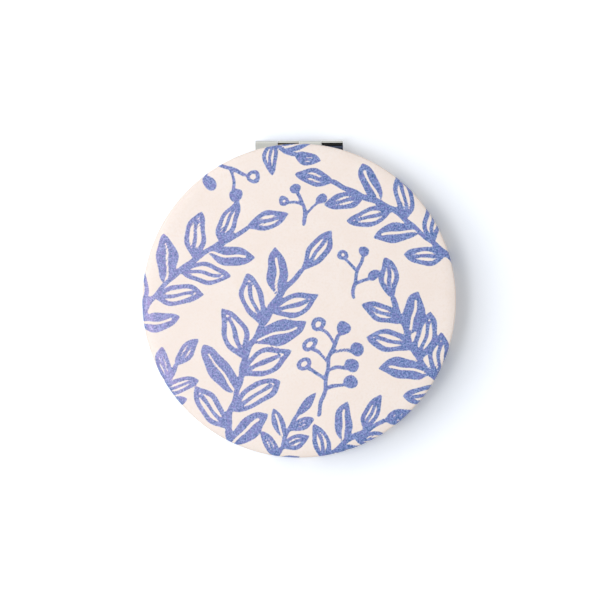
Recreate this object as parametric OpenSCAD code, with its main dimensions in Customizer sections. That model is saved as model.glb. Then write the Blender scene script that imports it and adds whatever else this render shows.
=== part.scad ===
// Round folding pocket mirror: two pressed steel half shells joined by a snap hinge at the back.
// Each half has a glass mirror inside, held by a bezel, and a padded leather panel outside.
// It lies closed with the lid up. The origin is the middle of its bottom face, +Z is up, and
// the hinge is at +Y. Every piece is drawn for the base, and lid pieces are turned over the pin.

/* [Covers] */
// Diameter of the closed case, over the leather
case_d = 70; // [64:0.5:80]
// Leather on the face and round the edge
leather_t = 0.55; // [0.45:0.05:0.8]
// Leather where it is skived and folded under the board
hem_t = 0.4; // [0.3:0.05:0.5]
// Width of the fold under the board
hem_w = 6; // [3:0.5:10]
// Foam at the middle of a panel
pad_t = 1; // [0.9:0.1:2]
// Stiffener board in a panel
board_t = 0.8; // [0.6:0.1:1.5]
// Foam squeezed round the edge of the board
edge_wrap = 0.7; // [0.6:0.05:1]
// Rounding from the face of a panel to its edge
edge_r = 0.7; // [0.6:0.05:1.4]
// Rounding where the leather turns under
turn_r = 0.95; // [0.7:0.05:1]
// Rise of the lid's face from its edge to its middle
lid_crown = 0.7; // [0.2:0.05:0.8]
// Lift of the base's face from the flat that it rests on to its edge
base_lift = 0.2; // [0.1:0.05:0.4]
// Diameter of the flat that the base rests on
rest_d = 52; // [30:1:58]

/* [Shells] */
// Sheet of the pressed shells
shell_t = 0.4; // [0.3:0.05:0.6]
// How far the shells' walls stand in from the leather's edge
shell_inset = 0.8; // [0.7:0.05:1.2]
// Inside rounding between a shell's floor and its wall
shell_corner_r = 0.4; // [0.2:0.05:0.6]
// Rolled bead along a shell's rim
bead_r = 0.4; // [0.3:0.05:0.5]
// Gap between the two closed rims
rim_gap = 0.15; // [0.1:0.05:0.3]
// Depth of the flat cut in the front of the bead for a fingernail
nail_depth = 0.35; // [0.2:0.05:0.35]

/* [Mirrors] */
// Mirror glass
glass_t = 1.5; // [1.2:0.1:2]
// Ground edge of the glass
glass_bevel = 0.2; // [0.1:0.05:0.3]
// How far the edge of the glass lies in from the case's edge
mirror_inset = 5.5; // [5.3:0.1:8]
// Hollow of the magnifying glass at its middle
hollow = 0.45; // [0.2:0.05:0.9]
// Width of the foam tape ring behind each glass
tape_w = 9; // [4:0.5:16]
// Top of the bezel, over the edge of the glass
bezel_t = 0.8; // [0.6:0.1:1.2]
// How far the bezel laps over the glass
bezel_lap = 0.7; // [0.4:0.1:1.5]
// Skirt of the bezel
bezel_wall = 0.6; // [0.5:0.05:0.8]
// Slope along the inner edge of the bezel
bezel_slope = 0.9; // [0.4:0.1:1.2]

/* [Hinge] */
// Width of the hinge
hinge_w = 19.6; // [16:0.2:22]
// How far the hinge stands out past the leather
hinge_reach = 0.8; // [0.5:0.05:1]
// Sheet of the hinge leaves
sheet_t = 0.5; // [0.35:0.05:0.6]
// Inside of the bend at the back of a knuckle
bend_r = 0.5; // [0.3:0.05:0.6]
// Gap between neighbouring knuckles
knuckle_gap = 0.1; // [0.05:0.05:0.4]
// Hinge pin
pin_d = 1.1; // [0.9:0.1:1.4]
// Room from the pin to the back wall of a knuckle
pin_room = 0.4; // [0.2:0.05:0.45]
// Rounding of the square end of the lid's ears, where the snap spring bears
cam_r = 0.6; // [0.4:0.05:0.7]
// Metal round the pin in the eyes of the base's leaf
eye_wall = 0.35; // [0.3:0.05:0.4]
// Leaf in front of its rivets
leaf_margin = 1.7; // [1.2:0.1:2]
// Rounding of the front corners of a leaf
leaf_corner_r = 1.2; // [0.6:0.1:2]
// Sheet of the snap spring
spring_t = 0.25; // [0.15:0.05:0.3]
// Inside of the bend of the snap spring
spring_bend_r = 0.5; // [0.3:0.05:0.6]
// How far the tongues of the snap spring end below the pin's axis
tongue_drop = 0.4; // [0.3:0.05:0.6]
// Rivets
rivet_d = 1; // [0.8:0.05:1.2]
// Heads of the rivets
rivet_head_d = 1.4; // [1.3:0.05:1.6]
// Height of the heads
rivet_head_h = 0.4; // [0.3:0.05:0.5]
// Countersink of the rivets in the shell, past the shank
rivet_flare = 0.3; // [0.2:0.05:0.4]
// How far the rivets lie in from the ends of the hinge
rivet_inset = 2.8; // [2:0.1:4]

/* [Clearances] */
// Foam in leather, and bezel in shell
fit_gap = 0.05; // [0.03:0.01:0.1]
// Pin in the lid's ears
pin_play = 0.05; // [0.03:0.01:0.1]
// Rivet in its holes
rivet_play = 0.03; // [0.02:0.01:0.05]
// Closed ear to snap spring
spring_gap = 0.05; // [0.03:0.01:0.1]
// Leaf to the back of the glass
plate_gap = 0.1; // [0.05:0.05:0.3]
// Snap spring to bezel, for its flexing
flex_gap = 0.5; // [0.4:0.05:0.8]
// Hinge to the ends of its window in the shells
window_gap = 0.3; // [0.2:0.05:0.6]
// Rivet head to bezel
head_gap = 0.2; // [0.1:0.05:0.4]
// Tape to leaf, to hem and to the strip of the spring
tape_gap = 0.3; // [0.2:0.05:0.6]

/* [Hidden] */
$fn = 128;
// How far a cutting body runs past what it cuts
overrun = 1;
// Straight steps in each rounding, and along a crowned or hollow face
arc_steps = 8;
face_steps = 24;

leather_colour = [0.97, 0.92, 0.89];
foam_colour = [0.93, 0.91, 0.86];
board_colour = [0.62, 0.58, 0.52];
tape_colour = [0.9, 0.9, 0.86];
steel_colour = [0.83, 0.83, 0.81];
glass_colour = [0.86, 0.91, 0.93];
bezel_colour = [0.88, 0.88, 0.87];
spring_colour = [0.5, 0.53, 0.58];

// Layers of one half, from the outside in
case_r = case_d / 2;
z_board = leather_t + pad_t;
z_hem = z_board + board_t;
z_shell = z_hem + hem_t;
z_floor = z_shell + shell_t;
z_glass = z_floor + max(sheet_t, hollow) + plate_gap;
z_glass_top = z_glass + glass_t;
z_rim = z_glass_top + bezel_t;
z_pin = z_rim + rim_gap / 2;

// Rings of one half, from the edge in
board_r = case_r - leather_t - edge_wrap;
hem_in_r = board_r - hem_w;
turn_fit = min(turn_r, hem_t + edge_wrap - 3 * fit_gap);
shell_r = case_r - shell_inset;
shell_in_r = shell_r - shell_t;
bead_out_r = shell_in_r + 2 * bead_r;
bezel_out_r = shell_in_r - fit_gap;
mirror_r = case_r - mirror_inset;
bezel_in_r = mirror_r - bezel_lap;

// The hinge, from its back wall forwards
pin_r = pin_d / 2;
ear_r = pin_r + pin_room + sheet_t;
eye_r = pin_r + eye_wall;
bend_out_r = bend_r + sheet_t;
y_back = case_r + hinge_reach;
y_pin = y_back - ear_r;
y_ear = y_pin - ear_r;
y_tongue = y_ear - spring_gap;
y_bezel = y_tongue - spring_t - flex_gap;
wall_top = z_pin + ear_r - cam_r;
rivet_r = rivet_d / 2;
rivet_head_r = rivet_head_d / 2;
rivet_x = hinge_w / 2 - rivet_inset;
rivet_y = y_bezel - bezel_wall - head_gap - rivet_head_r;
y_leaf = rivet_y - leaf_margin;
tape_out_r = y_leaf - tape_gap;
z_spring = z_floor + sheet_t;
z_bezel_back = z_spring + spring_t + fit_gap;
window_w = hinge_w + 2 * window_gap;
// The window starts at the bezel's back, or where the leaf's ends would meet the shell's rounding
y_window = min(y_bezel, sqrt((shell_in_r - shell_corner_r) ^ 2 - (hinge_w / 2) ^ 2) - fit_gap);

// Knuckles count from the left, seen from above. The lid has the ones between the base's.
knuckle_count = 4;
knuckle_w = (hinge_w - (knuckle_count - 1) * knuckle_gap) / knuckle_count;
base_knuckles = [1, 3];
lid_knuckles = [0, 2];

// Points along an arc about a centre, with both ends
function arc(centre, r, from, to, steps = arc_steps) =
    [for (i = [0:steps]) let (a = from + (to - from) * i / steps) centre + r * [cos(a), sin(a)]];

function reversed(list) = [for (i = [len(list) - 1:-1:0]) list[i]];

function knuckle_x(i) = -hinge_w / 2 + i * (knuckle_w + knuckle_gap);

// The rounding of a panel's edge, as small as the leather and as large as the side allow
function edge_fit(rise) = max(leather_t + 2 * fit_gap, min(edge_r, z_shell - turn_fit - rise));

// Slope of a panel's face where its edge rounding starts
function edge_slope(flat_r, rise) = atan(2 * rise / (case_r - edge_fit(rise) - flat_r));

// Where the face ends and the edge rounding starts
function edge_start(flat_r, rise) = case_r - edge_fit(rise) * (1 - sin(edge_slope(flat_r, rise)));

// Outline of a panel from its middle to the top of its side, at a depth inside the leather
function panel_face(flat_r, rise, inset) =
    let (
        slope = edge_slope(flat_r, rise),
        start = edge_start(flat_r, rise),
        r = edge_fit(rise),
        centre = [start - r * sin(slope), rise + r * cos(slope)]
    )
    concat(
        [[0, inset]],
        [for (i = [0:face_steps - 1])
            let (share = i / face_steps) [flat_r + (start - flat_r) * share, rise * share ^ 2 + inset]],
        arc(centre, r - inset, slope - 90, 0)
    );

// Outline where a panel's side turns under, ending on the hem's level
function panel_turn(inset, r, top) = arc([case_r - inset - r, top - r], r, 0, 90);

// The other half: turned over about the pin's line
module turned_over() {
    translate([0, 0, z_pin]) rotate([0, 180, 0]) translate([0, 0, -z_pin]) children();
}

// A side profile, drawn as [y, z], run along X
module along_x(x, width) {
    translate([x, 0, 0]) rotate([90, 0, 90]) linear_extrude(width) children();
}

// Leather wrapped over the foam and folded under the board
module cover(flat_r, rise) {
    color(leather_colour) rotate_extrude() polygon(concat(
        panel_face(flat_r, rise, 0),
        panel_turn(0, turn_fit, z_shell),
        [[hem_in_r, z_shell], [hem_in_r, z_hem]],
        reversed(panel_turn(leather_t, turn_fit - hem_t, z_hem)),
        reversed(panel_face(flat_r, rise, leather_t))
    ));
}

// Foam between the leather and the board, squeezed round the board's edge
module pad(flat_r, rise) {
    color(foam_colour) rotate_extrude() polygon(concat(
        panel_face(flat_r, rise, leather_t + fit_gap),
        panel_turn(leather_t + fit_gap, turn_fit - hem_t, z_hem - fit_gap),
        [[board_r + fit_gap, z_hem - fit_gap], [board_r + fit_gap, z_board], [0, z_board]]
    ));
}

module board() {
    color(board_colour) translate([0, 0, z_board]) cylinder(h = board_t, r = board_r);
}

// Adhesive sheet that fills the space inside the hem and bonds the panel to the shell
module cover_tape() {
    color(tape_colour) translate([0, 0, z_hem]) cylinder(h = hem_t, r = hem_in_r - tape_gap);
}

// Pressed pan with a bead rolled out along its rim, a window for the hinge and a nail catch
module shell() {
    bead = [shell_in_r + bead_r, z_rim - bead_r];
    bead_foot = acos((shell_t - bead_r) / bead_r);
    outside_r = shell_corner_r + shell_t;
    color(steel_colour) difference() {
        rotate_extrude() polygon(concat(
            [[0, z_shell]],
            arc([shell_r - outside_r, z_shell + outside_r], outside_r, -90, 0),
            arc(bead, bead_r, -bead_foot, 180, 2 * arc_steps),
            arc([shell_in_r - shell_corner_r, z_floor + shell_corner_r], shell_corner_r, 0, -90),
            [[0, z_floor]]
        ));
        translate([-window_w / 2, y_window, z_floor]) cube([window_w, case_r, z_pin]);
        translate([-case_r, -bead_out_r - overrun, z_floor + outside_r])
            cube([case_d, nail_depth + overrun, z_pin]);
        rivet_places() translate([0, 0, z_shell - overrun])
            cylinder(h = shell_t + 2 * overrun, r = rivet_r + rivet_play);
        rivet_places() translate([0, 0, z_shell])
            cylinder(h = shell_t, r1 = rivet_r + rivet_flare + rivet_play, r2 = rivet_r + rivet_play);
    }
}

// Ring of foam tape, squeezed to the back of the glass
module mirror_tape(sink) {
    in_r = tape_out_r - tape_w;
    color(tape_colour) rotate_extrude() polygon(concat(
        [[in_r, z_floor], [tape_out_r, z_floor]],
        reversed([for (i = [0:face_steps])
            let (r = in_r + tape_w * i / face_steps) [r, glass_z(r, sink, z_glass)]])
    ));
}

// Height of a glass face at a radius, for a face that is level at the rim and sinks to the middle
function glass_z(r, sink, level) = level - sink * (1 - (r / mirror_r) ^ 2);

// Silvered glass with a ground edge, flat or hollow
module glass(sink) {
    steps = sink > 0 ? face_steps : 1;
    flat_r = mirror_r - glass_bevel;
    function face(level) =
        [for (i = [0:steps]) let (r = flat_r * i / steps) [r, glass_z(r, sink, level)]];
    color(glass_colour) rotate_extrude() polygon(concat(
        face(z_glass),
        [[mirror_r, z_glass + glass_bevel], [mirror_r, z_glass_top - glass_bevel]],
        reversed(face(z_glass_top))
    ));
}

// Ring that laps over the glass, with a skirt that stands on the shell's floor
module bezel() {
    lip_z = z_glass_top + bezel_t / 3;
    foot_r = bezel_out_r - shell_corner_r;
    skirt_r = bezel_out_r - bezel_wall;
    color(bezel_colour) difference() {
        union() {
            rotate_extrude() polygon([
                [bezel_in_r, z_glass_top], [skirt_r, z_glass_top],
                [skirt_r, z_floor], [foot_r, z_floor], [bezel_out_r, z_floor + shell_corner_r],
                [bezel_out_r, z_rim], [bezel_in_r + bezel_slope, z_rim], [bezel_in_r, lip_z]
            ]);
            bezel_back();
        }
        translate([-case_r, y_bezel, z_shell]) cube([case_d, case_r, z_pin]);
        translate([-window_w / 2, y_leaf, z_shell]) cube([window_w, case_r, z_bezel_back - z_shell]);
    }
}

// Wall that closes the bezel behind the rivets
module bezel_back() {
    intersection() {
        translate([-case_r, y_bezel - bezel_wall, z_floor])
            cube([case_d, 2 * bezel_wall, z_rim - bezel_t / 2 - z_floor]);
        cylinder(h = z_rim, r = bezel_out_r - bezel_wall / 2);
    }
}

module rivet_places() {
    for (side = [-1, 1]) translate([side * rivet_x, rivet_y, 0]) children();
}

// Leaf folded from sheet: a plate on the shell's floor, two knuckles, and what holds the pin
module hinge_leaf(bore_r) {
    color(steel_colour) difference() {
        union() {
            leaf_plate();
            for (i = base_knuckles) knuckle(knuckle_x(i));
            children();
        }
        translate([-hinge_w / 2 - overrun, y_pin, z_pin]) rotate([0, 90, 0])
            cylinder(h = hinge_w + 2 * overrun, r = bore_r);
        rivet_places() translate([0, 0, z_shell])
            cylinder(h = z_pin - z_shell, r = rivet_r + rivet_play);
    }
}

// The base's knuckles carry the pin in an eye at their left and are open at their right
module base_leaf() {
    hinge_leaf(pin_r) for (i = base_knuckles) eye(knuckle_x(i));
}

// The lid's knuckles turn on the pin in an ear at each end
module lid_leaf() {
    hinge_leaf(pin_r + pin_play)
        for (i = base_knuckles, side = [0, knuckle_w - sheet_t]) ear(knuckle_x(i) + side);
}

module leaf_plate() {
    half = hinge_w / 2;
    back = y_ear - knuckle_gap;
    centre_x = half - leaf_corner_r;
    translate([0, 0, z_floor]) linear_extrude(sheet_t) polygon(concat(
        [[half, back], [-half, back]],
        arc([-centre_x, y_leaf + leaf_corner_r], leaf_corner_r, 180, 270),
        arc([centre_x, y_leaf + leaf_corner_r], leaf_corner_r, 270, 360)
    ));
}

// One knuckle: the sheet runs back and bends up into the back wall
module knuckle(x) {
    bend = [y_back - bend_out_r, z_floor + bend_out_r];
    front = y_ear - 2 * knuckle_gap;
    along_x(x, knuckle_w) polygon(concat(
        [[front, z_floor]],
        arc(bend, bend_out_r, -90, 0),
        [[y_back, wall_top], [y_back - sheet_t, wall_top]],
        arc(bend, bend_r, 0, -90),
        [[front, z_spring]]
    ));
}

// Square ear, whose corners push the tongue of the snap spring aside as the lid turns
module ear(x) {
    bend = [y_back - bend_out_r, z_floor + bend_out_r];
    along_x(x, sheet_t) polygon(concat(
        [[y_ear, z_floor]],
        arc(bend, bend_out_r, -90, 0),
        arc([y_back - cam_r, wall_top], cam_r, 0, 90),
        arc([y_ear + cam_r, wall_top], cam_r, 90, 180)
    ));
}

// Round eye on a post, bent up from the end of the knuckle
module eye(x) {
    intersection() {
        ear(x);
        union() {
            translate([x, y_pin, z_pin]) rotate([0, 90, 0]) cylinder(h = sheet_t, r = eye_r);
            translate([x, y_pin - eye_r, z_floor]) cube([sheet_t, 2 * eye_r, z_pin - z_floor]);
        }
    }
}

// Pin pressed into the base's eyes, running in the lid's ears
module pin() {
    color(steel_colour) translate([-hinge_w / 2, y_pin, z_pin]) rotate([0, 90, 0])
        cylinder(h = hinge_w, r = pin_r);
}

// Spring steel strip under the base's rivets, with a tongue behind each of the lid's knuckles
module spring() {
    side = knuckle_gap / 2;
    half = hinge_w / 2 - side;
    front = mirror_r + tape_gap;
    strip_back = y_bezel + flex_gap / 2;
    tongue_bend = spring_bend_r + spring_t;
    bend = [y_tongue - tongue_bend, z_spring + tongue_bend];
    color(spring_colour) difference() {
        union() {
            translate([0, 0, z_spring]) linear_extrude(spring_t) {
                translate([-half, front]) square([2 * half, strip_back - front]);
                rivet_places() circle(r = rivet_head_r + rivet_flare);
            }
            for (i = lid_knuckles) along_x(knuckle_x(i) + side, knuckle_w - 2 * side) polygon(concat(
                [[strip_back - flex_gap / 2, z_spring]],
                arc(bend, tongue_bend, -90, 0),
                [[y_tongue, z_pin - tongue_drop], [y_tongue - spring_t, z_pin - tongue_drop]],
                arc(bend, spring_bend_r, 0, -90),
                [[strip_back - flex_gap / 2, z_spring + spring_t]]
            ));
        }
        rivet_places() translate([0, 0, z_shell])
            cylinder(h = z_pin - z_shell, r = rivet_r + rivet_play);
    }
}

// Rivets flush with the outside of the shell and headed over the given thickness of sheet
module rivets(grip) {
    seat = shell_t + grip;
    color(steel_colour) rivet_places() translate([0, 0, z_shell]) rotate_extrude() polygon(concat(
        [[0, 0], [rivet_r + rivet_flare, 0], [rivet_r, shell_t], [rivet_r, seat]],
        [for (a = [0:90 / arc_steps:90]) [rivet_head_r * cos(a), seat + rivet_head_h * sin(a)]]
    ));
}

cover(rest_d / 2, base_lift);  // base_cover
pad(rest_d / 2, base_lift);  // base_pad
board();  // base_board
cover_tape();  // base_cover_tape
shell();  // base_shell
mirror_tape(hollow);  // base_mirror_tape
glass(hollow);  // base_magnifier
bezel();  // base_bezel
base_leaf();  // base_hinge_leaf
rivets(sheet_t + spring_t);  // base_rivets
pin();  // hinge_pin
spring();  // snap_spring
turned_over() cover(0, lid_crown);  // lid_cover
turned_over() pad(0, lid_crown);  // lid_pad
turned_over() board();  // lid_board
turned_over() cover_tape();  // lid_cover_tape
turned_over() shell();  // lid_shell
turned_over() mirror_tape(0);  // lid_mirror_tape
turned_over() glass(0);  // lid_mirror
turned_over() bezel();  // lid_bezel
turned_over() lid_leaf();  // lid_hinge_leaf
turned_over() rivets(sheet_t);  // lid_rivets
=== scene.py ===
"""Looks of a round folding pocket mirror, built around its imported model.

The padded covers are modelled here as leather-cloth with a print of leaf sprigs. The pressed
shells, hinge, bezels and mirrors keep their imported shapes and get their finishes.
Sizes are in metres where Blender reads them, and in millimetres in the print and the patterns.
"""

import math

import bpy
import numpy as np
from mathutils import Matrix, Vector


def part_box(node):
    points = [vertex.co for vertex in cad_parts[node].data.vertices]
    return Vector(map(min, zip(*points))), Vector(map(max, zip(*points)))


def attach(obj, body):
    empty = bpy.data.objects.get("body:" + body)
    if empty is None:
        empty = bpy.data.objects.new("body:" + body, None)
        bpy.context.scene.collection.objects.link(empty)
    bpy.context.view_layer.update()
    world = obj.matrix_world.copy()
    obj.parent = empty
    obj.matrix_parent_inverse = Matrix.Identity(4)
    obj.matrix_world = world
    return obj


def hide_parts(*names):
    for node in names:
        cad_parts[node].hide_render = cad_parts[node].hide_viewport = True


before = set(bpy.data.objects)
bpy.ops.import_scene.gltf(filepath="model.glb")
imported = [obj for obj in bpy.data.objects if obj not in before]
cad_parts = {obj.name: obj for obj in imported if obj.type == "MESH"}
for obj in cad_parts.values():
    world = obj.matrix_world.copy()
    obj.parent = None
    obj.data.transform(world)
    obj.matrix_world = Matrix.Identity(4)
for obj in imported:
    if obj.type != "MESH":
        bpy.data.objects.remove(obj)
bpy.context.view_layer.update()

bl_info = {
    "name": "Compact Mirror",
    "version": (1, 0, 0),
    "blender": (4, 5, 0),
    "location": "View3D > Sidebar > Compact Mirror",
    "description": "Padded printed covers and real finishes for a folding pocket mirror",
    "category": "Object",
}

MM = 0.001
# In millimetres: the camera's sensor, and the distance to the ink stored where none is printed
SENSOR_WIDTH = 36
NO_INK = 5


def linear(code):
    """Linear red, green, blue and alpha of an sRGB hex colour."""
    parts = [int(code[i:i + 2], 16) / 255 for i in (0, 2, 4)]
    return [p / 12.92 if p <= 0.04045 else ((p + 0.055) / 1.055) ** 2.4 for p in parts] + [1.0]


# The print, in millimetres and degrees on the flat leather, as seen from outside.
# Each leaf sprig: start x, start y, heading, turn, stem length, leaf length, line, leaves
SPRIGS = [
    (-16, -38, 92, -44, 49, 13.0, 1.10, 10),
    (39, -24, 150, -47, 31, 11.5, 1.05, 8),
    (-39, -9, 62, -40, 38, 11.5, 1.00, 8),
    (38, 4, 126, 36, 38, 10.5, 1.00, 8),
    (3, -41, 68, -54, 22, 9.5, 0.95, 6),
    (-37, -31, 66, -14, 19, 9.0, 0.90, 6),
    (-11, 41, -62, 44, 13, 8.0, 0.85, 4),
    (-6, -39, 82, -30, 15, 7.0, 0.80, 5),
]
# Each berry stem: start x, start y, heading, turn, stem length, line, berries, berry diameter
BERRY_STEMS = [
    (-26, 33, -8, -22, 15, 0.85, 4, 3.1),
    (4.6, -25.5, 84, -14, 18, 0.90, 7, 3.1),
    (12.5, 1, 95, -25, 9, 0.80, 3, 2.4),
    (1.5, 17.2, 94, 24, 7, 0.80, 3, 2.3),
    (21, -35, 34, 40, 12, 0.80, 4, 2.6),
]


def wobbled(x, y):
    """Points moved a little, so that the printed lines look drawn by hand."""
    sway, tremor = 0.35, 0.16
    return (x + sway * np.sin(0.45 * y + 0.8) + tremor * np.sin(1.15 * y + 0.5 * x),
            y + sway * np.sin(0.41 * x + 2.1) + tremor * np.sin(1.05 * x - 0.6 * y))


def along_arc(start, heading, turn, length, share):
    """Point and heading at a share of the way along an arc."""
    radius = length / turn
    here = heading + turn * share
    x = start[0] + radius * (math.sin(here) - math.sin(heading))
    y = start[1] - radius * (math.cos(here) - math.cos(heading))
    return (x, y), here


def stem_gap(x, y, start, heading, turn, length, line):
    """Distance from each point to the edge of a stroke drawn along an arc, negative inside it."""
    radius, side = abs(length / turn), math.copysign(1, turn)
    first = heading - side * math.pi / 2
    centre_x = start[0] - radius * math.cos(first)
    centre_y = start[1] - radius * math.sin(first)
    angle = (np.arctan2(y - centre_y, x - centre_x) - first) * side
    angle = np.clip((angle + math.pi) % (2 * math.pi) - math.pi, 0, abs(turn))
    return np.hypot(x - centre_x - radius * np.cos(first + side * angle),
                    y - centre_y - radius * np.sin(first + side * angle)) - line / 2


def leaf_gap(x, y, base, heading, length, width, line, solid):
    """Distance to a leaf: two arcs that meet at a tip, filled or in outline, with a midrib."""
    along = (x - base[0]) * math.cos(heading) + (y - base[1]) * math.sin(heading)
    across = (y - base[1]) * math.cos(heading) - (x - base[0]) * math.sin(heading)
    radius = (length ** 2 + width ** 2) / (4 * width)
    offset = radius - width / 2
    outside = np.maximum(np.hypot(along - length / 2, across + offset),
                         np.hypot(along - length / 2, across - offset)) - radius
    rib_start, rib_end = -0.1 * length, 0.78 * length
    midrib = np.hypot(along - np.clip(along, rib_start, rib_end), across) - line / 2
    if solid:
        widening = 0.02 * length
        return np.maximum(outside, -(midrib + widening))
    thinning = 0.1
    return np.minimum(np.abs(outside + line / 2) - line / 2, midrib + thinning)


def sprig_gap(x, y, sprig):
    """Distance to a stem with leaves to its left and right and one at its tip."""
    start, heading, turn = sprig[:2], math.radians(sprig[2]), math.radians(sprig[3])
    length, leaf, line, count = sprig[4:]
    stem_line, tip_length, tip_width = 1.15 * line, 0.85 * leaf, 0.36 * leaf
    gap = stem_gap(x, y, start, heading, turn, length, stem_line)
    for i in range(count):
        share = 0.12 + 0.8 * i / count
        base, here = along_arc(start, heading, turn, length, share)
        # Towards the tip the leaves lean closer to the stem, and the middle ones are the longest.
        fan = math.radians(52 - 14 * share) * (1 if i % 2 else -1)
        size = leaf * (0.62 + 0.38 * math.sin(math.pi * (0.15 + 0.75 * share)))
        width, solid = 0.42 * size, i % 3 == 0
        gap = np.minimum(gap, leaf_gap(x, y, base, here + fan, size, width, line, solid))
    tip, here = along_arc(start, heading, turn, length, 1)
    return np.minimum(gap, leaf_gap(x, y, tip, here, tip_length, tip_width, line, False))


def berry_gap(x, y, stem):
    """Distance to a stem with berries on stalks, every other one an open ring."""
    start, heading, turn = stem[:2], math.radians(stem[2]), math.radians(stem[3])
    length, line, count, size = stem[4:]
    stalk_fan, stalk_turn, stalk_line = math.radians(48), 0.5, 0.8 * line
    gap = stem_gap(x, y, start, heading, turn, length, line)
    for i in range(count):
        last = i == count - 1
        side = 1 if i % 2 else -1
        share = 0.3 + 0.7 * i / (count - 1)
        base, here = along_arc(start, heading, turn, length, share)
        here += 0 if last else side * stalk_fan
        stalk = size * (0.2 if last else 1.5)
        bow = stalk_turn * side
        gap = np.minimum(gap, stem_gap(x, y, base, here, bow, stalk, stalk_line))
        end, _ = along_arc(base, here, bow, stalk, 1)
        disc = np.hypot(x - end[0] - size / 2 * math.cos(here),
                        y - end[1] - size / 2 * math.sin(here)) - size / 2
        gap = np.minimum(gap, disc if i % 2 == 0 else np.abs(disc + line / 2) - line / 2)
    return gap


def print_gap(x, y):
    """Distance in mm from each point of the flat leather to the ink, negative inside it."""
    x, y = wobbled(x, y)
    return np.minimum.reduce([sprig_gap(x, y, s) for s in SPRIGS]
                             + [berry_gap(x, y, b) for b in BERRY_STEMS])


class CompactCovers(bpy.types.PropertyGroup):
    """Sizes of the padded leather-cloth covers"""
    leather: bpy.props.FloatProperty(
        name="Leather", description="Thickness on the face and round the edge",
        default=0.55 * MM, unit="LENGTH")
    hem: bpy.props.FloatProperty(
        name="Hem", description="Thickness where it is skived and folded under the board",
        default=0.4 * MM, unit="LENGTH")
    hem_width: bpy.props.FloatProperty(
        name="Hem width", description="Width of the fold under the board",
        default=6 * MM, unit="LENGTH")
    edge_wrap: bpy.props.FloatProperty(
        name="Edge wrap", description="Foam squeezed round the edge of the board",
        default=0.7 * MM, unit="LENGTH")
    edge_rounding: bpy.props.FloatProperty(
        name="Edge rounding", description="Radius from the face to the edge",
        default=0.6 * MM, unit="LENGTH")
    turn_rounding: bpy.props.FloatProperty(
        name="Turn rounding", description="Radius where the leather turns under",
        default=0.95 * MM, unit="LENGTH")
    lid_crown: bpy.props.FloatProperty(
        name="Lid crown", description="Rise of the lid's face from its edge to its middle",
        default=0.7 * MM, unit="LENGTH")
    base_lift: bpy.props.FloatProperty(
        name="Base lift", description="Lift of the base's face from its flat to its edge",
        default=0.2 * MM, unit="LENGTH")
    bend: bpy.props.FloatProperty(
        name="Bend", description="Extra fall of the face near its rim, where foam is pressed thin",
        default=0.18 * MM, unit="LENGTH")
    bend_width: bpy.props.FloatProperty(
        name="Bend width", description="Width of the band in which the face bends down",
        default=2.6 * MM, unit="LENGTH")
    rest_radius: bpy.props.FloatProperty(
        name="Rest radius", description="Radius of the flat that the base rests on",
        default=26 * MM, unit="LENGTH")
    gather_depth: bpy.props.FloatProperty(
        name="Gather depth", description="Depth of the small gathers where the leather turns under",
        default=0.14 * MM, unit="LENGTH")
    gathers: bpy.props.IntProperty(
        name="Gathers", description="Number of gathers round the edge", default=84)
    cells: bpy.props.IntProperty(
        name="Cells", description="Cells across the face, four times as many round the edge",
        default=160)


class CompactColours(bpy.types.PropertyGroup):
    """Colours of the finishes"""
    leather: bpy.props.FloatVectorProperty(
        name="Leather", description="Coating of the leather-cloth",
        subtype="COLOR", size=4, default=linear("F6E8DD"))
    leather_sheen: bpy.props.FloatVectorProperty(
        name="Leather sheen", description="Tint of what the bare coating reflects",
        subtype="COLOR", size=4, default=(0.75, 0.75, 0.75, 1))
    ink: bpy.props.FloatVectorProperty(
        name="Ink", description="Printed ink in the valleys of the grain",
        subtype="COLOR", size=4, default=linear("31659D"))
    ink_light: bpy.props.FloatVectorProperty(
        name="Ink, light", description="Printed ink on the tops of the grain",
        subtype="COLOR", size=4, default=linear("88A0CF"))
    ink_violet: bpy.props.FloatVectorProperty(
        name="Ink, violet", description="Printed ink where it lies thick",
        subtype="COLOR", size=4, default=linear("6E7AB8"))
    ink_sheen: bpy.props.FloatVectorProperty(
        name="Ink sheen", description="Tint of what the ink reflects",
        subtype="COLOR", size=4, default=(1.0, 0.62, 0.74, 1))
    nickel: bpy.props.FloatVectorProperty(
        name="Nickel", description="Bright nickel plate",
        subtype="COLOR", size=4, default=linear("D8D9D3"))
    # Painted shade inside the open knuckles: lighter on the left, darker on the right
    knuckle_shade_left: bpy.props.FloatVectorProperty(
        name="Knuckle shade, left", description="Painted shade inside the open knuckle on the left, the lighter one",
        subtype="COLOR", size=4, default=linear("D6CDBC"))
    knuckle_shade_right: bpy.props.FloatVectorProperty(
        name="Knuckle shade, right", description="Painted shade inside the open knuckle on the right, the darker one",
        subtype="COLOR", size=4, default=linear("5E5E5C"))
    plating: bpy.props.FloatVectorProperty(
        name="Plating", description="Vacuum plating of the bezels",
        subtype="COLOR", size=4, default=linear("DEDEDC"))
    silver: bpy.props.FloatVectorProperty(
        name="Silver", description="Silvering behind the glass",
        subtype="COLOR", size=4, default=linear("EDF1EF"))
    glass_edge: bpy.props.FloatVectorProperty(
        name="Glass edge", description="Ground edge of the glass",
        subtype="COLOR", size=4, default=linear("B9D3C6"))


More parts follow.
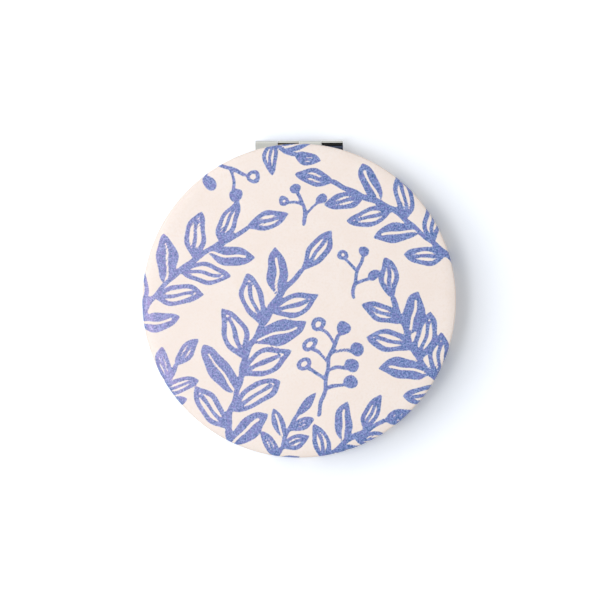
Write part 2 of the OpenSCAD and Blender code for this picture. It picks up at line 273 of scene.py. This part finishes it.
class CompactStudio(bpy.types.PropertyGroup):
    """Light and camera"""
    key_place: bpy.props.FloatVectorProperty(
        name="Key place", description="Middle of the softbox on the left",
        subtype="TRANSLATION", unit="LENGTH", size=3, default=(-2.15, 0.22, 2.5))
    key_power: bpy.props.FloatProperty(
        name="Key", description="Power of the softbox on the left", default=83.0, unit="POWER")
    key_size: bpy.props.FloatProperty(
        name="Key size", description="Side of the softbox on the left",
        default=3.3, unit="LENGTH")
    top_place: bpy.props.FloatVectorProperty(
        name="Top place", description="Middle of the softbox overhead",
        subtype="TRANSLATION", unit="LENGTH", size=3, default=(-0.295, -0.07, 1.08))
    top_power: bpy.props.FloatProperty(
        name="Top", description="Power of the softbox overhead", default=1.8, unit="POWER")
    top_size: bpy.props.FloatProperty(
        name="Top size", description="Side of the softbox overhead", default=0.25, unit="LENGTH")
    lamp_colour: bpy.props.FloatVectorProperty(
        name="Lamp colour", description="Colour of both softboxes",
        subtype="COLOR", size=3, default=linear("F8FAFE")[:3])
    room_colour: bpy.props.FloatVectorProperty(
        name="Room colour", description="Colour of the light from all round",
        subtype="COLOR", size=4, default=linear("F5F8FE"))
    room_light: bpy.props.FloatProperty(
        name="Room", description="Strength of the light from all round", default=0.47)
    camera_height: bpy.props.FloatProperty(
        name="Camera height", description="Height of the camera above the lid's edge",
        default=0.93, unit="LENGTH")
    view_width: bpy.props.FloatProperty(
        name="View width", description="Width of the picture at the lid's edge",
        default=133.76 * MM, unit="LENGTH")


def nothing_selected():
    """Leave edit mode and deselect everything."""
    if bpy.context.object and bpy.context.object.mode != "OBJECT":
        bpy.ops.object.mode_set(mode="OBJECT")
    bpy.ops.object.select_all(action="DESELECT")


def points_of(mesh):
    """Vertex positions of a mesh as an array."""
    flat = np.zeros(3 * len(mesh.vertices))
    mesh.vertices.foreach_get("co", flat)
    return flat.reshape(-1, 3)


def set_points(mesh, points):
    """Write vertex positions back to a mesh."""
    mesh.vertices.foreach_set("co", points.ravel())
    mesh.update()


def arc(centre, radius, start, end, steps=10):
    """Points on an arc in a radius and depth plane, angles in degrees, both ends included."""
    angles = [math.radians(a) for a in np.linspace(start, end, steps + 1)]
    return [(centre[0] + radius * math.cos(a), centre[1] + radius * math.sin(a)) for a in angles]


def face_depth(sizes, out, reach, rise, flat):
    """Depth of the face below its middle at a radius: a shallow crown, and a bend near the rim."""
    crown = np.maximum(0, out - flat) / (reach - flat)
    bend = np.maximum(0, out - reach + sizes.bend_width) / sizes.bend_width
    return rise * crown ** 2 + sizes.bend * bend ** 3


def cover_profile(sizes, radius, depth, rise, flat, inset, turn, top):
    """Edge of a cover from its face to its hem, as radius and depth, inset into the leather."""
    fall = rise + sizes.bend
    edge = min(sizes.edge_rounding, depth - sizes.turn_rounding - fall)
    slope = math.atan(2 * rise / (radius - edge - flat) + 3 * sizes.bend / sizes.bend_width)
    start = radius - edge * (1 - math.sin(slope))
    centre = (start - edge * math.sin(slope), fall + edge * math.cos(slope))
    face_edge = arc(centre, edge - inset, math.degrees(slope) - 90, 0)
    return face_edge + arc((radius - inset - turn, top - turn), turn, 0, 90)


def extrude_rings(profile):
    """Extrude the selected loop ring by ring along a profile of radius and depth."""
    for (r0, d0), (r1, d1) in zip(profile, profile[1:]):
        bpy.ops.mesh.extrude_region_move()
        bpy.ops.transform.resize(value=(r1 / r0, r1 / r0, 1), center_override=(0, 0, 0))
        bpy.ops.transform.translate(value=(0, 0, d1 - d0))


def disc_from_square(points, radius):
    """Push a square grid of side 2 out to a disc, with even cells."""
    x, y = points[:, 0].copy(), points[:, 1].copy()
    wide = np.abs(x) >= np.abs(y)
    reach = np.where(wide, x, y)
    safe = np.where(np.abs(reach) < 1e-9, 1, reach)
    angle = math.pi / 4 * np.where(wide, y, x) / safe
    points[:, 0] = radius * reach * np.where(wide, np.cos(angle), np.sin(angle))
    points[:, 1] = radius * reach * np.where(wide, np.sin(angle), np.cos(angle))
    return points


def model_cover(name, node, body, lift, flat, leather):
    """Leather-cloth over foam: a crowned face, a soft edge, gathers and a hem under the board."""
    sizes = bpy.context.scene.compact_covers
    low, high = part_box(node)
    radius, depth = high.x, high.z - low.z
    outer = cover_profile(sizes, radius, depth, lift, flat, 0, sizes.turn_rounding, depth)
    inner = cover_profile(sizes, radius, depth, lift, flat, sizes.leather,
                          sizes.turn_rounding - sizes.hem, depth - sizes.hem)
    face_out, back_out = outer[0][0], inner[0][0]
    hem_in = radius - sizes.leather - sizes.edge_wrap - sizes.hem_width
    hem_out = [(r, depth) for r in np.linspace(outer[-1][0], hem_in, 8)[1:]]
    hem_back = [(r, depth - sizes.hem) for r in np.linspace(hem_in, inner[-1][0], 5)]
    inner_face = [(r, sizes.leather + float(face_depth(sizes, r, back_out, lift, flat)))
                  for r in (share * back_out for share in (0.95, 0.8, 0.5, 0.2))]
    nothing_selected()
    bpy.ops.mesh.primitive_grid_add(
        x_subdivisions=sizes.cells, y_subdivisions=sizes.cells, size=2)
    piece = bpy.context.object
    piece.name = piece.data.name = name
    points = disc_from_square(points_of(piece.data), face_out)
    out = np.hypot(points[:, 0], points[:, 1])
    points[:, 2] = face_depth(sizes, out, face_out, lift, flat)
    set_points(piece.data, points)
    bpy.ops.object.mode_set(mode="EDIT")
    bpy.ops.mesh.select_all(action="SELECT")
    bpy.ops.mesh.region_to_loop()
    extrude_rings(outer + hem_out + hem_back + inner[::-1] + inner_face)
    bpy.ops.mesh.merge(type="CENTER")
    bpy.ops.mesh.select_all(action="SELECT")
    bpy.ops.mesh.normals_make_consistent(inside=False)
    bpy.ops.object.mode_set(mode="OBJECT")
    print_leather(piece, sizes, outer, lift, flat)
    soften_cover(piece, sizes, radius, depth)
    settle_cover(piece, body, low, high)
    bpy.ops.object.shade_smooth_by_angle(angle=math.radians(50))
    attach(piece, body)
    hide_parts(node)
    piece.data.materials.append(leather)


def print_leather(piece, sizes, outer, lift, flat):
    """Store each point's distance to the ink, with the print wrapped round the edge unstretched."""
    face_margin, edge_margin = 0.1 * MM, 0.02 * MM
    points = points_of(piece.data)
    out = np.hypot(points[:, 0], points[:, 1])
    profile = np.array(outer)
    face_out = profile[0][0]
    steps = np.hypot(*np.diff(profile, axis=0).T)
    wrap = face_out + np.concatenate([[0], np.cumsum(steps)])
    away = np.hypot(out[:, None] - profile[:, 0], points[:, 2][:, None] - profile[:, 1])
    flat_out = np.where(out < face_out, out, wrap[away.argmin(axis=1)])
    face = face_depth(sizes, out, face_out, lift, flat)
    on_face = (out < face_out) & (points[:, 2] < face + face_margin)
    on_edge = away.min(axis=1) < edge_margin
    scale = flat_out / np.maximum(out, 1e-9) / MM
    gap = print_gap(points[:, 0] * scale, points[:, 1] * scale)
    gap[~(on_face | on_edge)] = NO_INK
    piece.data.attributes.new("print_gap", "FLOAT", "POINT").data.foreach_set("value", gap)


def soften_cover(piece, sizes, radius, depth):
    """Give the leather its small unevenness: slow waves on its face and gathers at the turn."""
    wave_height, calm_rim, pull_share = 0.012 * MM, 3 * MM, 0.6
    points = points_of(piece.data)
    out = np.hypot(points[:, 0], points[:, 1])
    angle = np.arctan2(points[:, 1], points[:, 0])
    x, y = points[:, 0] / MM, points[:, 1] / MM
    wave = np.sin(0.31 * x + 0.7) * np.sin(0.27 * y + 1.9) + 0.6 * np.sin(0.19 * x - 0.37 * y)
    fade = np.clip((radius - out) / calm_rim, 0, 1)
    turn_share = np.clip((points[:, 2] / depth - 0.55) / 0.45, 0, 1)
    hem_share = np.clip((out - 0.9 * radius) / (0.08 * radius), 0, 1)
    # The gathers crowd together and thin out round the edge, and some are deeper than others.
    phase = sizes.gathers * angle + 1.7 * np.sin(5 * angle) + 1.1 * np.sin(11 * angle + 1)
    gather = np.clip(np.sin(phase), 0, 1) ** 2 * (0.7 + 0.3 * np.sin(3 * angle + 2))
    tuck = sizes.gather_depth * gather * turn_share * hem_share
    points[:, 2] += wave_height * wave * fade * (points[:, 2] < 0.5 * depth)
    points[:, 2] -= tuck
    points[:, :2] *= (1 - pull_share * tuck / np.maximum(out, 1e-9))[:, None]
    set_points(piece.data, points)


def settle_cover(piece, body, low, high):
    """Place a cover modelled face down: the base's as it is, the lid's turned face up."""
    points = points_of(piece.data)
    if body == "lid":
        points[:, 2] = high.z - points[:, 2]
        piece.data.flip_normals()
    else:
        points[:, 2] += low.z
    set_points(piece.data, points)


def add_node(material, kind, inputs=(), **settings):
    """Add a shader node, set its properties, and set or link its inputs."""
    tree = material.node_tree
    node = tree.nodes.new("ShaderNode" + kind)
    for key, value in settings.items():
        setattr(node, key, value)
    for key, value in dict(inputs).items():
        if isinstance(value, bpy.types.NodeSocket):
            tree.links.new(value, node.inputs[key])
        else:
            node.inputs[key].default_value = value
    return node


def new_material(name):
    """An empty node material, its shader and its coordinates in millimetres."""
    material = bpy.data.materials.new(name)
    material.use_nodes = True
    shader = material.node_tree.nodes["Principled BSDF"]
    place = add_node(material, "TexCoord").outputs["Object"]
    in_mm = add_node(material, "Mapping", {"Vector": place, "Scale": [1 / MM] * 3})
    return material, shader, in_mm.outputs["Vector"]


def link(material, source, node, socket):
    """Link a node's output to a named socket of another node."""
    material.node_tree.links.new(source, node.inputs[socket])


def printed_leather():
    """Polyurethane leather-cloth, embossed with a fine grain and printed with one ink.

    The eye gets a soft, faintly warm sheet, and ink that is mottled by the grain, ragged at its
    edges and glossier than the bare coating.
    """
    colours = bpy.context.scene.compact_colours
    material, shader, in_mm = new_material("Printed PU leather-cloth")
    # The grain is drawn at 0.4 mm, about twice the real one, so that it shows, and the mottle
    # and patches of the ink go with it. The broad patches are of 6 mm.
    grain_size, fine_size, patch_size, broad_size = 0.4, 0.36, 0.5, 6
    grain = add_node(
        material, "TexVoronoi", {"Vector": in_mm, "Scale": 1 / grain_size}, feature="SMOOTH_F1")
    fine = add_node(
        material, "TexNoise", {"Vector": in_mm, "Scale": 1 / fine_size, "Detail": 3.0})
    shifted = add_node(material, "Mapping", {"Vector": in_mm, "Location": (7.3, 2.9, 5.1)})
    patches = add_node(material, "TexNoise", {
        "Vector": shifted.outputs[0], "Scale": 1 / patch_size, "Detail": 2.0})
    broad = add_node(
        material, "TexNoise", {"Vector": in_mm, "Scale": 1 / broad_size, "Detail": 1.0})

    # The ink ends where the stored distance passes zero, a little ragged on the grain.
    raggedness, softness = 0.16, 0.06
    gap = add_node(material, "Attribute", attribute_name="print_gap").outputs["Fac"]
    ragged = add_node(material, "Math", {0: fine.outputs["Fac"], 1: 0.5}, operation="SUBTRACT")
    ragged = add_node(
        material, "Math", {0: ragged.outputs[0], 1: raggedness, 2: gap}, operation="MULTIPLY_ADD")
    inked = add_node(material, "MapRange", {
        "Value": ragged.outputs[0], "From Min": -softness, "From Max": softness,
        "To Min": 1.0, "To Max": 0.0}).outputs[0]
    mottle = add_node(material, "MapRange", {
        "Value": fine.outputs["Fac"], "From Min": 0.43, "From Max": 0.57})
    thick = add_node(material, "MapRange", {
        "Value": patches.outputs["Fac"], "From Min": 0.5, "From Max": 0.64})
    blue = add_node(material, "Mix", {
        "Factor": mottle.outputs[0], "A": colours.ink, "B": colours.ink_light}, data_type="RGBA")
    ink = add_node(material, "Mix", {
        "Factor": thick.outputs[0], "A": blue.outputs["Result"], "B": colours.ink_violet},
        data_type="RGBA")

    # The coating is a little warmer in broad patches and in small specks.
    warm = [c * f for c, f in zip(colours.leather, (0.985, 0.965, 0.95, 1))]
    speck = [c * f for c, f in zip(colours.leather, (0.97, 0.94, 0.90, 1))]
    shade = add_node(material, "MapRange", {
        "Value": broad.outputs["Fac"], "From Min": 0.3, "From Max": 0.7})
    specks = add_node(material, "MapRange", {
        "Value": patches.outputs["Fac"], "From Min": 0.45, "From Max": 0.75})
    leather = add_node(material, "Mix", {
        "Factor": shade.outputs[0], "A": colours.leather, "B": warm}, data_type="RGBA")
    leather = add_node(material, "Mix", {
        "Factor": specks.outputs[0], "A": leather.outputs["Result"], "B": speck},
        data_type="RGBA")
    printed = add_node(material, "Mix", {
        "Factor": inked, "A": leather.outputs["Result"], "B": ink.outputs["Result"]},
        data_type="RGBA")

    height = add_node(material, "Math", {
        0: fine.outputs["Fac"], 1: 0.5, 2: grain.outputs["Distance"]}, operation="MULTIPLY_ADD")
    bump = add_node(material, "Bump", {
        "Height": height.outputs[0], "Distance": 0.018 * MM, "Strength": 1.0})
    gloss = add_node(material, "MapRange", {
        "Value": grain.outputs["Distance"], "From Min": 0.0, "From Max": 0.6,
        "To Min": 0.4, "To Max": 0.5})
    # The ink fills the grain a little, so it is glossier than the bare coating.
    gloss = add_node(
        material, "Math", {0: inked, 1: -0.17, 2: gloss.outputs[0]}, operation="MULTIPLY_ADD")
    # Blue ink bronzes: it reflects pink, so it turns lilac where the light glances off it.
    sheen = add_node(material, "Mix", {
        "Factor": inked, "A": colours.leather_sheen, "B": colours.ink_sheen}, data_type="RGBA")
    shader.inputs["Specular IOR Level"].default_value = 1.0
    link(material, sheen.outputs["Result"], shader, "Specular Tint")
    link(material, printed.outputs["Result"], shader, "Base Color")
    link(material, gloss.outputs[0], shader, "Roughness")
    link(material, bump.outputs[0], shader, "Normal")
    return material


def pressed_nickel(name, roughness, streak):
    """Bright nickel on pressed steel: clean reflections, faint drawing marks, softer in patches."""
    mark_size, patch_size, mark_depth = 0.12, 3, 0.0008 * MM
    colours = bpy.context.scene.compact_colours
    material, shader, in_mm = new_material(name)
    streaks = add_node(material, "Mapping", {"Vector": in_mm, "Scale": streak})
    marks = add_node(material, "TexNoise", {
        "Vector": streaks.outputs[0], "Scale": 1 / mark_size, "Detail": 2.0})
    patches = add_node(
        material, "TexNoise", {"Vector": in_mm, "Scale": 1 / patch_size, "Detail": 2.0})
    rough = add_node(material, "MapRange", {
        "Value": patches.outputs["Fac"], "From Min": 0.3, "From Max": 0.7,
        "To Min": roughness, "To Max": roughness + 0.08})
    bump = add_node(material, "Bump", {"Height": marks.outputs["Fac"], "Distance": mark_depth})
    shader.inputs["Base Color"].default_value = colours.nickel
    shader.inputs["Metallic"].default_value = 1.0
    link(material, rough.outputs[0], shader, "Roughness")
    link(material, bump.outputs[0], shader, "Normal")
    return material


def knuckle_painted_shade(material):
    """Paint shade over the nickel on the sheet inside the knuckles, round the pin."""
    colours = bpy.context.scene.compact_colours
    shader = material.node_tree.nodes["Principled BSDF"]
    # The room round the pin, short of the outer faces of the knuckles
    low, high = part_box("hinge_pin")
    front = low.y - 0.9 * MM
    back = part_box("base_hinge_leaf")[1].y - 0.45 * MM
    end = high.x - 0.02 * MM
    middle, reach = (low.z + high.z) / 2, 2.6 * MM
    place = add_node(material, "TexCoord").outputs["Object"]
    axes = add_node(material, "SeparateXYZ", {"Vector": place}).outputs
    beside = add_node(material, "Math", {0: axes["X"]}, operation="ABSOLUTE").outputs[0]
    off_pin = add_node(material, "Math", {0: axes["Z"], 1: middle}, operation="SUBTRACT")
    off_pin = add_node(
        material, "Math", {0: off_pin.outputs[0]}, operation="ABSOLUTE").outputs[0]
    inside = add_node(
        material, "Math", {0: axes["Y"], 1: front}, operation="GREATER_THAN").outputs[0]
    for value, limit in ((beside, end), (axes["Y"], back), (off_pin, reach)):
        below = add_node(material, "Math", {0: value, 1: limit}, operation="LESS_THAN")
        inside = add_node(
            material, "Math", {0: inside, 1: below.outputs[0]}, operation="MULTIPLY").outputs[0]
    # The painted shade is lighter in the open knuckle on the left than in the one on the right.
    side_start, side_end = 2.4 * MM, 2.6 * MM
    side = add_node(material, "MapRange", {
        "Value": axes["X"], "From Min": side_start, "From Max": side_end})
    # Painted shade: a lighter tone on the left, a darker one on the right
    shade_tone = add_node(material, "Mix", {
        "Factor": side.outputs[0], "A": colours.knuckle_shade_left, "B": colours.knuckle_shade_right},
        data_type="RGBA")
    tone = add_node(material, "Mix", {
        "Factor": inside, "A": colours.nickel, "B": shade_tone.outputs["Result"]}, data_type="RGBA")
    link(material, tone.outputs["Result"], shader, "Base Color")
    return material


def bare_steel(name, colour, roughness):
    """Bare steel, with the fine scratches of its wire or strip."""
    scratch_size, scratch_depth = 0.15, 0.002 * MM
    material, shader, in_mm = new_material(name)
    scratches = add_node(
        material, "TexNoise", {"Vector": in_mm, "Scale": 1 / scratch_size, "Detail": 3.0})
    rough = add_node(material, "MapRange", {
        "Value": scratches.outputs["Fac"],
        "To Min": roughness - 0.06, "To Max": roughness + 0.1})
    bump = add_node(
        material, "Bump", {"Height": scratches.outputs["Fac"], "Distance": scratch_depth})
    shader.inputs["Base Color"].default_value = linear(colour)
    shader.inputs["Metallic"].default_value = 1.0
    link(material, rough.outputs[0], shader, "Roughness")
    link(material, bump.outputs[0], shader, "Normal")
    return material


def silvered_glass(name, radius):
    """Float glass with silvering behind it: a clean mirror, pale green at its ground edge."""
    face_end, edge_start = radius / MM - 0.2, radius / MM - 0.15
    haze_size = 9
    colours = bpy.context.scene.compact_colours
    material, shader, in_mm = new_material(name)
    flat = add_node(material, "VectorMath", {0: in_mm, 1: (1, 1, 0)}, operation="MULTIPLY")
    out = add_node(material, "VectorMath", {0: flat.outputs["Vector"]}, operation="LENGTH")
    face = add_node(material, "MapRange", {
        "Value": out.outputs["Value"], "From Min": face_end, "From Max": edge_start,
        "To Min": 1.0, "To Max": 0.0})
    tint = add_node(material, "Mix", {
        "Factor": face.outputs[0], "A": colours.glass_edge, "B": colours.silver},
        data_type="RGBA")
    haze = add_node(
        material, "TexNoise", {"Vector": in_mm, "Scale": 1 / haze_size, "Detail": 1.0})
    rough = add_node(
        material, "MapRange", {"Value": haze.outputs["Fac"], "To Min": 0.0, "To Max": 0.03})
    link(material, tint.outputs["Result"], shader, "Base Color")
    link(material, face.outputs[0], shader, "Metallic")
    link(material, rough.outputs[0], shader, "Roughness")
    return material


def plated_plastic():
    """Moulded ABS with bright vacuum plating: glossy, with the faint orange peel of moulding."""
    peel_size, peel_depth = 0.8, 0.003 * MM
    colours = bpy.context.scene.compact_colours
    material, shader, in_mm = new_material("Plated ABS bezel")
    peel = add_node(
        material, "TexNoise", {"Vector": in_mm, "Scale": 1 / peel_size, "Detail": 1.0})
    bump = add_node(material, "Bump", {"Height": peel.outputs["Fac"], "Distance": peel_depth})
    rough = add_node(
        material, "MapRange", {"Value": peel.outputs["Fac"], "To Min": 0.07, "To Max": 0.16})
    shader.inputs["Base Color"].default_value = colours.plating
    shader.inputs["Metallic"].default_value = 1.0
    link(material, rough.outputs[0], shader, "Roughness")
    link(material, bump.outputs[0], shader, "Normal")
    return material


def soft_filling(name, colour, shade, grain, roughness):
    """Foam, board or film: a matt body with its cells or fibres at their own size."""
    material, shader, in_mm = new_material(name)
    cells = add_node(material, "TexVoronoi", {"Vector": in_mm, "Scale": 1 / grain})
    fibres = add_node(
        material, "TexNoise", {"Vector": in_mm, "Scale": 0.5 / grain, "Detail": 3.0})
    mix = add_node(material, "Mix", {
        "Factor": fibres.outputs["Fac"], "A": linear(colour), "B": linear(shade)},
        data_type="RGBA")
    bump = add_node(
        material, "Bump", {"Height": cells.outputs["Distance"], "Distance": 0.1 * grain * MM})
    shader.inputs["Roughness"].default_value = roughness
    link(material, mix.outputs["Result"], shader, "Base Color")
    link(material, bump.outputs[0], shader, "Normal")
    return material


def finish_nodes(material, *names):
    """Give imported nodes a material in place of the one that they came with."""
    for name in names:
        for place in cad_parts[name].material_slots:
            place.material = material


# Each soft filling: finish, colour, second colour, cell or fibre size in mm, roughness, nodes
FILLINGS = [
    # Cream open cells with no shine
    ("PU foam sheet", "EFE9DA", "DDD5C2", 0.4, 0.9, "lid_pad", "base_pad"),
    # Pressed grey-brown fibres, nearly as dull as the foam
    ("Grey board", "A3988A", "857A6D", 0.3, 0.85, "lid_board", "base_board"),
    # A yellowish film with a half-dull shine
    ("Adhesive film", "EDE8D6", "E1D9C0", 0.6, 0.5, "lid_cover_tape", "base_cover_tape"),
    # Fine white closed cells
    ("Foam tape", "F2F1EC", "DFDDD6", 0.25, 0.85, "lid_mirror_tape", "base_mirror_tape"),
]
# Each bare steel: finish, colour, roughness, nodes
STEELS = [
    # Drawn wire, dark blue
    ("Blued steel wire", "4A5163", 0.3, "hinge_pin"),
    # Rolled strip, a paler and duller blue
    ("Blued spring steel", "6E7480", 0.35, "snap_spring"),
    # Pale headed rivets with a soft shine
    ("Steel rivets", "C4C3BE", 0.3, "lid_rivets", "base_rivets"),
]


class COMPACT_OT_covers(bpy.types.Operator):
    """Model the padded leather-cloth covers of the lid and the base"""
    bl_idname = "compact.covers"
    bl_label = "Padded Covers"

    def execute(self, context):
        sizes = context.scene.compact_covers
        leather = printed_leather()
        model_cover("lid_leather", "lid_cover", "lid", sizes.lid_crown, 0.0, leather)
        model_cover("base_leather", "base_cover", "base", sizes.base_lift, sizes.rest_radius,
                    leather)
        return {"FINISHED"}


class COMPACT_OT_fillings(bpy.types.Operator):
    """Finish the foam, boards and tapes inside the covers and behind the mirrors"""
    bl_idname = "compact.fillings"
    bl_label = "Foam, Boards and Tapes"

    def execute(self, context):
        for name, colour, shade, grain, roughness, *nodes in FILLINGS:
            finish_nodes(soft_filling(name, colour, shade, grain, roughness), *nodes)
        return {"FINISHED"}


class COMPACT_OT_metalwork(bpy.types.Operator):
    """Finish the pressed shells, the hinge, its pin, spring and rivets"""
    bl_idname = "compact.metalwork"
    bl_label = "Shells and Hinge"

    def execute(self, context):
        # The marks run round the shells, and across the pin on the hinge sheet.
        shell = pressed_nickel("Nickel-plated pressed steel", 0.14, (1, 1, 6))
        leaf = pressed_nickel("Nickel-plated hinge sheet", 0.1, (6, 1, 1))
        finish_nodes(shell, "lid_shell", "base_shell")
        # The hinge sheet gets painted shade inside its knuckles.
        finish_nodes(knuckle_painted_shade(leaf), "lid_hinge_leaf", "base_hinge_leaf")
        for name, colour, roughness, *nodes in STEELS:
            finish_nodes(bare_steel(name, colour, roughness), *nodes)
        return {"FINISHED"}


class COMPACT_OT_mirrors(bpy.types.Operator):
    """Finish the two mirrors and their bezels"""
    bl_idname = "compact.mirrors"
    bl_label = "Mirrors and Bezels"

    def execute(self, context):
        glass = silvered_glass("Silvered float glass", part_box("lid_mirror")[1].x)
        finish_nodes(glass, "lid_mirror", "base_magnifier")
        finish_nodes(plated_plastic(), "lid_bezel", "base_bezel")
        return {"FINISHED"}


class COMPACT_OT_stage(bpy.types.Operator):
    """Set the white floor, the room, the softboxes and the camera above the case"""
    bl_idname = "compact.stage"
    bl_label = "Studio"

    def execute(self, context):
        studio = context.scene.compact_studio
        white_floor()
        bright_room(studio)
        # The large one leaves the soft shadow on the right, the small one the sheen on the left.
        softbox("side_softbox", studio.key_place, studio.key_size, studio.key_power)
        softbox("top_softbox", studio.top_place, studio.top_size, studio.top_power)
        camera_above(studio)
        context.scene.view_settings.view_transform = "Standard"
        return {"FINISHED"}


def white_floor():
    """A seamless white table, a little brighter to the camera than to the object."""
    to_object, to_camera = (0.85, 0.85, 0.86, 1), (1.14, 1.16, 1.185, 1)
    fade_start, fade_end = 0.1, 0.35
    nothing_selected()
    bpy.ops.mesh.primitive_plane_add(size=6, location=(0, 0, -0.02 * MM))
    floor = bpy.context.object
    floor.name = "table"
    material = bpy.data.materials.new("White table")
    material.use_nodes = True
    seen = add_node(material, "LightPath").outputs["Is Camera Ray"]
    tone = add_node(
        material, "Mix", {"Factor": seen, "A": to_object, "B": to_camera}, data_type="RGBA")
    tone.clamp_result = False
    diffuse = add_node(material, "BsdfDiffuse", {"Color": tone.outputs["Result"]})
    # Far from the case it is plain white to the camera, so that no horizon shows.
    place = add_node(material, "TexCoord").outputs["Object"]
    away = add_node(material, "VectorMath", {0: place}, operation="LENGTH").outputs["Value"]
    far = add_node(
        material, "MapRange", {"Value": away, "From Min": fade_start, "From Max": fade_end},
        interpolation_type="SMOOTHSTEP")
    far = add_node(material, "Math", {0: far.outputs[0], 1: seen}, operation="MULTIPLY")
    glow = add_node(material, "Emission")
    surface = add_node(material, "MixShader", {
        0: far.outputs[0], 1: diffuse.outputs[0], 2: glow.outputs[0]})
    output = material.node_tree.nodes["Material Output"]
    link(material, surface.outputs[0], output, "Surface")
    floor.data.materials.append(material)


def bright_room(studio):
    """A plain, faintly blue light on the object, and white walls to the camera and in mirrors."""
    world = bpy.data.worlds.new("Room")
    bpy.context.scene.world = world
    world.use_nodes = True
    path = add_node(world, "LightPath").outputs
    mirrored = add_node(world, "Math", {
        0: path["Is Glossy Ray"], 1: path["Is Transmission Ray"]}, operation="MAXIMUM").outputs[0]
    # The ceiling and the front wall are greyer, so that bright metal and glass show a difference.
    direction = add_node(world, "TexCoord").outputs["Generated"]
    axes = add_node(world, "SeparateXYZ", {"Vector": direction}).outputs
    ceiling = add_node(world, "MapRange", {
        "Value": axes["Z"], "From Min": 0.3, "From Max": 1.0, "To Min": 1.0, "To Max": 0.75})
    front = add_node(world, "MapRange", {
        "Value": axes["Y"], "From Min": -1.0, "From Max": 0.0, "To Min": 0.55, "To Max": 1.0},
        interpolation_type="SMOOTHSTEP")
    walls = add_node(
        world, "Math", {0: ceiling.outputs[0], 1: front.outputs[0]}, operation="MULTIPLY")
    # A little more light comes from the right, which lifts the edge and the floor in the shadow.
    fill = add_node(world, "MapRange", {
        "Value": axes["X"], "From Min": -1.0, "From Max": 1.0,
        "To Min": 0.75 * studio.room_light, "To Max": 1.25 * studio.room_light})
    strength = add_node(world, "Mix", {
        "Factor": mirrored, "A": fill.outputs[0], "B": walls.outputs[0]}, data_type="FLOAT")
    strength = add_node(world, "Mix", {
        "Factor": path["Is Camera Ray"], "A": strength.outputs["Result"], "B": 1.0},
        data_type="FLOAT")
    white = add_node(world, "Math", {0: mirrored, 1: path["Is Camera Ray"]}, operation="MAXIMUM")
    colour = add_node(world, "Mix", {
        "Factor": white.outputs[0], "A": studio.room_colour, "B": linear("FFFFFF")},
        data_type="RGBA")
    background = world.node_tree.nodes["Background"]
    link(world, colour.outputs["Result"], background, "Color")
    link(world, strength.outputs["Result"], background, "Strength")


def softbox(name, place, size, power):
    """A square lamp that faces the case."""
    nothing_selected()
    bpy.ops.object.light_add(type="AREA", location=place)
    lamp = bpy.context.object
    lamp.name = name
    lamp.data.shape = "SQUARE"
    lamp.data.size = size
    lamp.data.energy = power
    lamp.data.color = bpy.context.scene.compact_studio.lamp_colour
    lamp.rotation_euler = (-lamp.location).to_track_quat("-Z", "Y").to_euler()


def camera_above(studio):
    """A long lens straight above, with the disc where the photograph has it."""
    off_centre = (0.167 * MM, 0.156 * MM)
    # The lid's edge, which is the outline seen from above, lies this far below its crown.
    edge_drop = 1.4 * MM
    edge_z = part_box("lid_cover")[1].z - edge_drop
    nothing_selected()
    bpy.ops.object.camera_add(
        location=(*off_centre, edge_z + studio.camera_height), rotation=(0, 0, 0))
    camera = bpy.context.object
    camera.name = "camera"
    camera.data.sensor_width = SENSOR_WIDTH
    camera.data.lens = SENSOR_WIDTH * studio.camera_height / studio.view_width
    camera.data.clip_start = 0.01
    bpy.context.scene.camera = camera


class COMPACT_PT_looks(bpy.types.Panel):
    """Buttons for the pieces and the studio, in the 3D view's sidebar"""
    bl_label = "Compact Mirror"
    bl_idname = "COMPACT_PT_looks"
    bl_space_type = "VIEW_3D"
    bl_region_type = "UI"
    bl_category = "Compact Mirror"

    def draw(self, context):
        for operator in OPERATORS:
            self.layout.operator(operator.bl_idname)
        for group in (context.scene.compact_covers, context.scene.compact_colours,
                      context.scene.compact_studio):
            column = self.layout.column()
            for name in group.__annotations__:
                column.prop(group, name)


GROUPS = {
    "compact_covers": CompactCovers,
    "compact_colours": CompactColours,
    "compact_studio": CompactStudio,
}
OPERATORS = [
    COMPACT_OT_covers, COMPACT_OT_fillings, COMPACT_OT_metalwork, COMPACT_OT_mirrors,
    COMPACT_OT_stage]


def register():
    for cls in [*GROUPS.values(), *OPERATORS, COMPACT_PT_looks]:
        bpy.utils.register_class(cls)
    for name, group in GROUPS.items():
        setattr(bpy.types.Scene, name, bpy.props.PointerProperty(type=group))


def unregister():
    for name in GROUPS:
        delattr(bpy.types.Scene, name)
    for cls in reversed([*GROUPS.values(), *OPERATORS, COMPACT_PT_looks]):
        bpy.utils.unregister_class(cls)


def main():
    """Build every piece and the studio."""
    register()
    bpy.ops.compact.covers()
    bpy.ops.compact.fillings()
    bpy.ops.compact.metalwork()
    bpy.ops.compact.mirrors()
    bpy.ops.compact.stage()


if __name__ == "__main__":
    main()
